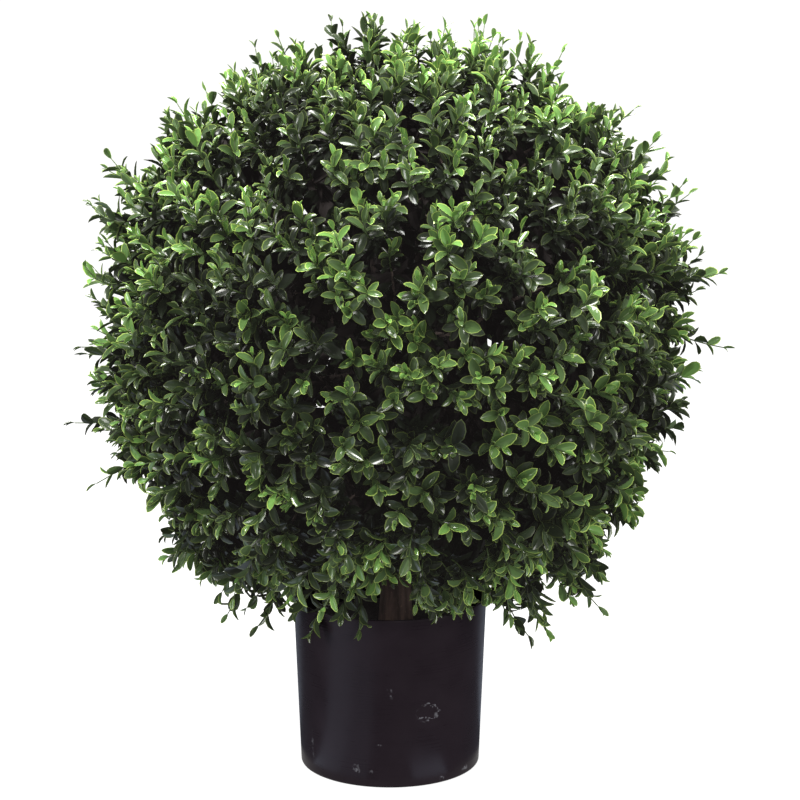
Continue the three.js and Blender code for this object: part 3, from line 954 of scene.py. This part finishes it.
def sprig_skeleton(count):
    """The sprigs: a tip near the outline, a heading and the direction from the crown's centre, for each.

    Tips are spread evenly, jittered, and drawn part of the way to the nearest twig and side twig, which
    leaves dark hollows between the bunches. A few stray past the outline. High sprigs lean up and low ones
    droop, those at the ball's sides point less to the front or back, and all sway at random. The single
    stray sprigs and the hanging ones come last.
    """
    number = np.arange(count)
    ways = unit(spiral_directions(count) + random_ways(number, "sweep", "bend") * SPRIG_JITTER)
    limbs = limb_skeleton()
    twig_ways, side_ways = limbs["twigs"][2], limbs["side_twigs"][2]
    ways = unit(ways + DRAW_TO_TWIG * (twig_ways[nearest(ways, twig_ways)] - ways))
    ways = unit(ways + DRAW_TO_SIDE_TWIG * (side_ways[nearest(ways, side_ways)] - ways))
    share = spread(number, "reach", *SPRIG_SHARES)
    share = share + BUNCH_SHARE * (chance(nearest(ways, side_ways), "reach") - 0.5)
    share = np.where(chance(number, "stray") > STRAY_CHANCE_ABOVE, share + STRAY_SHARE, share)
    tips = out_from_crown(ways, sprig_reach(ways) * share)
    lean = np.interp(ways[:, 2], LEAN_HEIGHTS, LEANS)[:, None] * [0, 0, 1]
    flattened = ways * np.stack([np.ones(count), 1 - 0.5 * np.abs(ways[:, 0]), np.ones(count)], axis=1)
    headings = unit(flattened + SPRIG_SWAY * random_ways(number, "turn", "limp") + lean)
    angle, out = np.array(STRAY_SPRIGS, float).T
    right, up = np.cos(np.radians(angle))[:, None], np.sin(np.radians(angle))[:, None]
    stray_ways = right * [1, 0, 0] + up * [0, math.sin(VIEW_PITCH), math.cos(VIEW_PITCH)]
    stray_tips = out_from_crown(stray_ways, crown_reach(stray_ways) + out * MM)
    stray_headings = unit(stray_ways + STRAY_SWAY * random_ways(np.arange(len(out)), "turn", "limp"))
    hanging_tips = np.array(HANGING_SPRIGS) * MM
    hanging_ways = unit(hanging_tips - CROWN_CENTRE)
    tips = np.concatenate([tips, stray_tips, hanging_tips])
    headings = np.concatenate([headings, stray_headings, unit(hanging_ways * [1, 1, 0.5])])
    return tips, headings, np.concatenate([ways, stray_ways, hanging_ways])


def clear_of_pot(points):
    """Whether points are above the pot's rim or outside it, off the trunk, and not in the gap before it."""
    x, y, z = points[..., 0], points[..., 1], points[..., 2]
    off_pot = (np.hypot(x, y) > POT_HIGH.x + 1.5 * MM) | (z > POT_HIGH.z + 2 * MM)
    off_trunk = (np.hypot(x - CROWN_CENTRE[0], y) > 15 * MM) | (z > TRUNK_HIGH.z)
    in_front = (np.abs(x - GAP_MIDDLE) < GAP_HALF_WIDTH) & (y < 0)
    in_gap = in_front & (z < GAP_HEIGHT - GAP_RISE * y)
    return off_pot & off_trunk & ~in_gap


def sprig_paths(count):
    """The curved stem of every sprig that the pot leaves room for, its number, direction and side twig."""
    tips, headings, ways = sprig_skeleton(count)
    keep = clear_of_pot(tips)
    side_tips = limb_skeleton()["side_twigs"][1]
    bunch = nearest(tips, side_tips)
    paths = bend(side_tips[bunch], tips, headings, SPRIG_PULL, SPRIG_STEPS)
    return paths[keep], np.arange(len(tips))[keep], ways[keep], bunch[keep]


def splayed(stem, reference, turn, opening):
    """Directions that open from a stem by an angle, at a turn round it that starts square to a reference."""
    across = unit(np.cross(stem, reference))
    over = np.cross(stem, across)
    outward = across * np.cos(turn)[..., None] + over * np.sin(turn)[..., None]
    return unit(stem * np.cos(opening)[..., None] + outward * np.sin(opening)[..., None])


def leaf_shapes(crown, key, from_tip, size):
    """The length, width, fold, curl and twist of leaves, by how many pairs they are from the tip."""
    return {
        "length": crown.leaf_length * size,
        "width": crown.leaf_width * size * spread(key, "width", 0.88, 1.12),
        "fold": spread(key, "fold", 0.4, 1.0),
        "curl": spread(key, "curl", -0.25, 0.75) + 0.05 * np.minimum(from_tip, 4),
        "twist": spread(key, "bend", -0.4, 0.4),
    }


def leaf_sizes(number, above, key, from_tip):
    """The size of each leaf as a share of a full-grown one: smaller at a sprig's tip and high on the ball."""
    size = np.interp(from_tip, [0, 1, 2, 3], [0.6, 0.98, 1.06, 1.04]) * spread(key, "length", 0.76, 1.22)
    return size * spread(number, "width", 0.88, 1.14) * np.interp(above, [-0.4, 0.1, 0.7], [1.04, 1.0, 0.93])


def leaf_tones(number, above, bunch, stray, key, from_tip):
    """The number of each leaf's tone, from 0, young, to 6, old.

    It grows down the sprig, partly as real leaves age and partly as painted shade deeper in the ball. Each
    sprig adds its mood, half its own and half its bunch's. Leaves high on the ball get lighter tones, painted
    light from above, and those of the stray and hanging sprigs a little darker ones.
    """
    mood = 0.5 * chance(number, "tone") + 0.5 * chance(bunch, "tone")
    sprig_tone = np.interp(mood, [0.1, 0.25, 0.5, 0.75, 0.9], [-1.1, -0.3, 0.7, 2.1, 3.5])
    # The tone down the sprig is partly leaf age and partly painted shade deeper in the ball
    tone = np.interp(from_tip, [0, 1, 2, 3, 4, 5], [0.2, 0.9, 2.1, 3.8, 5.2, 5.9]) + sprig_tone
    # Higher leaves get lighter tones: painted light from above
    tone = tone + (chance(key, "tone") - 0.5) * 0.9 - np.maximum(above, 0) + np.where(stray, 0.4, 0)
    return np.clip(np.rint(tone), 0, len(LEAF_TONES) - 1).astype(int)


def grow_leaves(crown, paths, number, ways, bunch):
    """Every leaf of every sprig, as arrays: crossed pairs up the stem, and a closed pair of buds at its tip.

    Pair k below the tip of K stands 0.88 times (k / (K - 1)) to the 0.74 of the stem down from it, a quarter
    turn round from the next. Leaves open wide at the foot and close towards the tip. A leaf's face turns to
    the sprig's tip, and also to the sky, more so at the ball's sides.
    """
    pairs = crown.pairs + 1
    rank = np.arange(pairs)[None, :, None]
    from_tip = pairs - 1 - rank
    leaf = np.arange(2)[None, None, :]
    number, bunch, above = number[:, None, None], bunch[:, None, None], ways[:, 2][:, None, None]
    key = (number * pairs + rank) * 2 + leaf
    share = 1 - 0.88 * (from_tip / (pairs - 1)) ** 0.74 + (chance(key // 2, "jitter") - 0.5) * 0.03
    root, stem = sample(paths, share[:, :, 0])
    root, stem = root[:, :, None], stem[:, :, None]
    turn = 2 * np.pi * chance(number, "twist") + rank * np.pi / 2 + leaf * np.pi
    turn = turn + (chance(key, "turn") - 0.5) * 0.7
    opening = np.interp(from_tip, [0, 1, 2, 4, pairs], [15, 33, 43, 53, 62])
    opening = np.radians(opening + (chance(key, "opening") - 0.5) * 38)
    growth = splayed(stem, unit(np.cross(ways, ASKEW))[:, None, None], turn, opening)
    lift = (0.1 + 0.5 * np.abs(ways[:, 0]) ** 3)[:, None, None, None] * np.array([0, 0, 1.0])
    face = unit(stem - growth * (stem * growth).sum(-1, keepdims=True) + lift)
    face = unit(face - growth * (face * growth).sum(-1, keepdims=True))
    side = np.cross(face, growth)
    roll = ((chance(key, "roll") - 0.5) * 0.65)[..., None]
    face, side = face * np.cos(roll) + side * np.sin(roll), side * np.cos(roll) - face * np.sin(roll)
    tone = leaf_tones(number, above, bunch, number >= crown.sprigs, key, from_tip)
    leaves = {"root": root, "growth": growth, "side": side, "face": face, "tone": tone}
    leaves.update({"from_tip": from_tip, "above": above})
    leaves.update(leaf_shapes(crown, key, from_tip, leaf_sizes(number, above, key, from_tip)))
    return fitting(flatten(leaves, key.shape))


def flatten(leaves, shape):
    """Every array of the leaves as one long row of leaves."""
    out = {}
    for name, value in leaves.items():
        tail = (3,) if value.ndim > len(shape) else ()
        out[name] = np.broadcast_to(value, (*shape, *tail)).reshape(-1, *tail)
    return out


def fitting(leaves):
    """Only the leaves whose middle and tip are clear of the pot and the trunk."""
    middle = leaves["root"] + leaves["growth"] * (leaves["length"] * 0.5)[:, None]
    end = leaves["root"] + leaves["growth"] * leaves["length"][:, None]
    fits = clear_of_pot(middle) & clear_of_pot(end)
    return {name: value[fits] for name, value in leaves.items()}


def grow_limb_leaves(crown, kind):
    """Old leaves along the limbs inside the ball, each a golden angle round from the last."""
    count, first, faded = LIMBS[kind][3:]
    paths = limb_paths(kind)
    order = np.arange(count)[None]
    key = first + np.arange(len(paths))[:, None] * count + order
    root, stem = sample(paths, np.broadcast_to((order + 0.5) / count, key.shape))
    turn = order * GOLDEN_ANGLE + 6 * chance(key, "turn")
    growth = splayed(stem, ASKEW, turn, np.radians(spread(key, "opening", 50, 100)))
    face = unit(np.cross(growth, random_ways(key, "jitter", "roll")))
    # Most old leaves on a limb take its inner tone of painted shade, a fifth the oldest leaf tone
    tone = np.where(chance(key, "tone") > 0.8, len(LEAF_TONES) - 1, faded)
    leaves = {"root": root, "growth": growth, "side": np.cross(face, growth), "face": face, "tone": tone}
    leaves.update(leaf_shapes(crown, key, np.full(key.shape, 9), spread(key, "length", 0.9, 1.45)))
    return fitting(flatten(leaves, key.shape))


class TOPIARY_OT_limbs(bpy.types.Operator):
    """Grow the limbs inside the ball: boughs from the trunk's top, twigs on them, side twigs on those"""

    bl_idname = "topiary.limbs"
    bl_label = "Boughs and twigs"

    def execute(self, context):
        crown = context.scene.topiary_crown
        wood = leaf_finish("twig brown wood", crown.twig_colour, 0.7, 0.3, crown.painted_glow_strength)
        bark = leaf_finish("bough dark bark", scaled(crown.twig_colour, 0.25), 0.8, 0.1, crown.painted_glow_strength)
        for kind, (at_root, at_tip, sides, *_) in LIMBS.items():
            paths = limb_paths(kind)
            radii = np.broadcast_to(np.linspace(at_root, at_tip, LIMB_STEPS) * MM, paths.shape[:2])
            points, faces = tubes(paths, radii, sides)
            piece = make_object(f"crown_{kind}", points, faces, [bark if kind == "boughs" else wood])
            settle(piece, "crown")
        return {"FINISHED"}


class TOPIARY_OT_leaves(bpy.types.Operator):
    """Grow the sprigs and their leaves, in bands from the top of the ball to its underside"""

    bl_idname = "topiary.leaves"
    bl_label = "Sprigs and leaves"

    def execute(self, context):
        crown = context.scene.topiary_crown
        paths, number, ways, bunch = sprig_paths(crown.sprigs)
        green = leaf_finish("sprig green stem", crown.stem_colour, 0.5, 0.4, crown.painted_glow_strength)
        radii = np.broadcast_to(np.linspace(*SPRIG_RADII, SPRIG_STEPS) * MM, paths.shape[:2])
        points, faces = tubes(paths, radii, 4)
        settle(make_object("crown_sprig_stems", points, faces, [green]), "crown")
        leaves = grow_leaves(crown, paths, number, ways, bunch)
        finishes = leaf_finishes(crown)
        fine = leaves["from_tip"] < FULL_PAIRS
        for band, name in enumerate(("top", "upper", "middle", "lower", "underside")):
            low, high = 0.6 - 0.4 * band, 1 - 0.4 * band
            chosen = fine & (leaves["above"] > low) & (leaves["above"] <= high)
            self.add(name, FINE_LEAF, leaves, chosen, finishes)
        self.add("sprig_feet", PLAIN_LEAF, leaves, ~fine, finishes)
        for kind in LIMBS:
            inner = grow_limb_leaves(crown, kind)
            self.add(kind, PLAIN_LEAF, inner, np.ones(len(inner["tone"]), bool), finishes)
        return {"FINISHED"}

    def add(self, name, form, leaves, chosen, finishes):
        if not chosen.any():
            raise RuntimeError(f"no leaves for {name}")
        picked = {key: value[chosen] for key, value in leaves.items()}
        points, faces, tones = form.mesh(picked)
        creased = np.tile(form.midrib, chosen.sum())
        normals = form.normals(picked)
        piece = make_object(
            f"crown_leaves_{name}", points, faces, finishes, tones, creased=creased, normals=normals
        )
        settle(piece, "crown")


class TOPIARY_OT_stage(bpy.types.Operator):
    """Lay the floor, hang the lights and set the camera"""

    bl_idname = "topiary.stage"
    bl_label = "Stage"

    def execute(self, context):
        stage = context.scene.topiary_stage
        half = 40.0
        low = -0.5 * MM
        points = [(-half, -half, low), (half, -half, low), (half, half, low), (-half, half, low)]
        paper = plain_finish("floor plain paper", stage.floor_colour, 0.9, 0.1, glow=stage.floor_glow)
        floor = make_object("stage_floor", points, [np.array([[0, 1, 2, 3]])], [paper], smooth=False)
        floor.visible_diffuse = False
        floor.visible_glossy = False
        for name, place, size, watts, colour in PANELS:
            self.panel(name, place, size, watts * stage.panel_strength, colour)
        self.card("ring", 0, 360, CARD_END, 0.4 * MM, stage.ring_glow)
        for name, start, end, share, far in CARDS:
            self.card(name, start, end, far, 1 * MM, stage.card_glow * share)
        world = bpy.data.worlds.new("studio")
        world.use_nodes = True
        background = world.node_tree.nodes["Background"]
        join(world.node_tree, background, {"Color": (1.0, 0.99, 0.97, 1), "Strength": stage.room_strength})
        context.scene.world = world
        context.scene.view_settings.view_transform = "Standard"
        self.camera(stage)
        return {"FINISHED"}

    def panel(self, name, place, size, energy, colour):
        lamp = bpy.data.lights.new(name, "AREA")
        lamp.shape = "RECTANGLE"
        lamp.size, lamp.size_y = size
        lamp.energy = energy
        lamp.color = colour
        holder = bpy.data.objects.new(name, lamp)
        holder.location = place
        aim = np.array(PANEL_AIM) - np.array(place)
        tilt = math.atan2(math.hypot(aim[0], aim[1]), -aim[2])
        holder.rotation_euler = (tilt, 0, math.atan2(aim[1], aim[0]) - math.pi / 2)
        bpy.context.scene.collection.objects.link(holder)

    def card(self, name, start, end, far, height, glow):
        """A bluish card on the floor between two bearings, seen only as a soft band down the pot's side."""
        steps = 36
        bearing = np.radians(np.linspace(start, end, steps))
        ring = np.stack([np.cos(bearing), np.sin(bearing), np.zeros(steps)], axis=1)
        points = np.concatenate([ring * CARD_START, ring * far]) + [0, 0, height]
        here = np.arange(steps - 1)
        quads = np.stack([here, here + steps, here + steps + 1, here + 1], axis=1)
        finish = plain_finish(f"stage_card_{name} pale blue", (0, 0, 0), 1, 0, (0.76, 0.86, 1.05), glow)
        card = make_object(f"stage_card_{name}", points, [quads], [finish], smooth=False)
        card.visible_camera = False
        card.visible_diffuse = False
        card.visible_shadow = False

    def camera(self, stage):
        lens = bpy.data.cameras.new("camera")
        lens.sensor_width = 36
        lens.lens = stage.camera_lens
        lens.clip_end = 120
        holder = bpy.data.objects.new("camera", lens)
        holder.location = (stage.camera_right, -stage.camera_distance, stage.camera_height)
        holder.rotation_euler = (math.pi / 2 - stage.camera_pitch, 0, 0)
        bpy.context.scene.collection.objects.link(holder)
        bpy.context.scene.camera = holder


class TOPIARY_PT_panel(bpy.types.Panel):
    """Buttons and sizes of the topiary ball"""

    bl_label = "Box Topiary Ball"
    bl_idname = "TOPIARY_PT_panel"
    bl_space_type = "VIEW_3D"
    bl_region_type = "UI"
    bl_category = "Topiary"

    def draw(self, context):
        for name in SETTINGS:
            settings = getattr(context.scene, name)
            box = self.layout.box()
            for field in settings.__annotations__:
                box.prop(settings, field)
        for operator in OPERATORS:
            self.layout.operator(operator.bl_idname)


SETTINGS = {"topiary_pot": TopiaryPot, "topiary_crown": TopiaryCrown, "topiary_stage": TopiaryStage}
OPERATORS = (
    TOPIARY_OT_stage, TOPIARY_OT_pot, TOPIARY_OT_fill, TOPIARY_OT_trunk, TOPIARY_OT_limbs, TOPIARY_OT_leaves,
)
CLASSES = (*SETTINGS.values(), *OPERATORS, TOPIARY_PT_panel)


def register():
    for cls in CLASSES:
        bpy.utils.register_class(cls)
    for name, group in SETTINGS.items():
        setattr(bpy.types.Scene, name, PointerProperty(type=group))


def unregister():
    for name in SETTINGS:
        delattr(bpy.types.Scene, name)
    for cls in reversed(CLASSES):
        bpy.utils.unregister_class(cls)


def main():
    register()
    for operator in OPERATORS:
        getattr(bpy.ops.topiary, operator.bl_idname.split(".")[1])()


if __name__ == "__main__":
    main()
